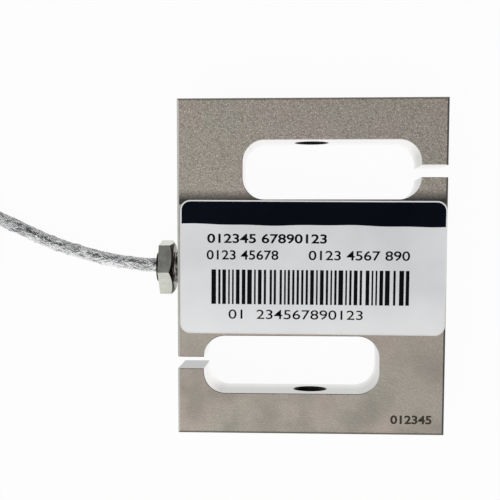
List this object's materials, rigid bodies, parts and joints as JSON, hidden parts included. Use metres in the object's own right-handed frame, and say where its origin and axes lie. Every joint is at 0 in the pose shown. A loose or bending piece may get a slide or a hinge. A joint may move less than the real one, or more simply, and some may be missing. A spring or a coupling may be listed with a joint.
{
  "type": "weighing load cell",
  "caption": "S-beam weighing load cell: a slotted steel block with a tapped hole in each end, a label over its sealed web, and a braided cable from a hexagon gland.",
  "frame": {"origin": "centre of the back face, on the surface that the cell lies on", "axes": "+Z out of the label side, +Y along the load axis towards the upper tapped hole, +X away from the cable"},
  "size_m": [0.1522, 0.0803, 0.0131],
  "materials": {
    "body_steel": "bead-blasted, nickel-plated",
    "cover_steel": "satin sheet steel",
    "label_film": "glossy printed polyester film",
    "gauge_foil": "polyimide film with constantan foil",
    "board": "glass epoxy board",
    "resistor": "moulded",
    "fine_wire": "enamelled copper",
    "core_red": "extruded PVC",
    "core_black": "extruded PVC",
    "core_green": "extruded PVC",
    "core_white": "extruded PVC",
    "gland_steel": "turned, nickel-plated",
    "gland_rubber": "moulded",
    "cable_braid": "tinned braid under a clear jacket",
    "tie_plastic": "coated wire",
    "sleeve_plastic": "heat-shrink tube",
    "tinned_wire": "tinned strands"
  },
  "bodies": {
    "root": {"s_beam_body": "body_steel", "front_cover_plate": "cover_steel", "back_cover_plate": "cover_steel", "rating_label": "label_film", "gauge_upper_left": "gauge_foil", "gauge_upper_right": "gauge_foil", "gauge_lower_left": "gauge_foil", "gauge_lower_right": "gauge_foil", "terminal_board": "board", "zero_resistor": "resistor", "span_resistor": "resistor", "gauge_leads_upper_left": "fine_wire", "gauge_leads_upper_right": "fine_wire", "gauge_leads_lower_left": "fine_wire", "gauge_leads_lower_right": "fine_wire", "core_red": "core_red", "core_black": "core_black", "core_green": "core_green", "core_white": "core_white", "gland_screw": "gland_steel", "gland_washer": "gland_steel", "gland_bush": "gland_rubber", "cable_run": "cable_braid", "cable_coil": "cable_braid", "cable_tail": "cable_braid", "coil_tie": "tie_plastic", "end_sleeve": "sleeve_plastic", "lead_red": "core_red", "lead_black": "core_black", "lead_green": "core_green", "lead_white": "core_white", "drain_wire": "tinned_wire"}
  },
  "joints": []
}
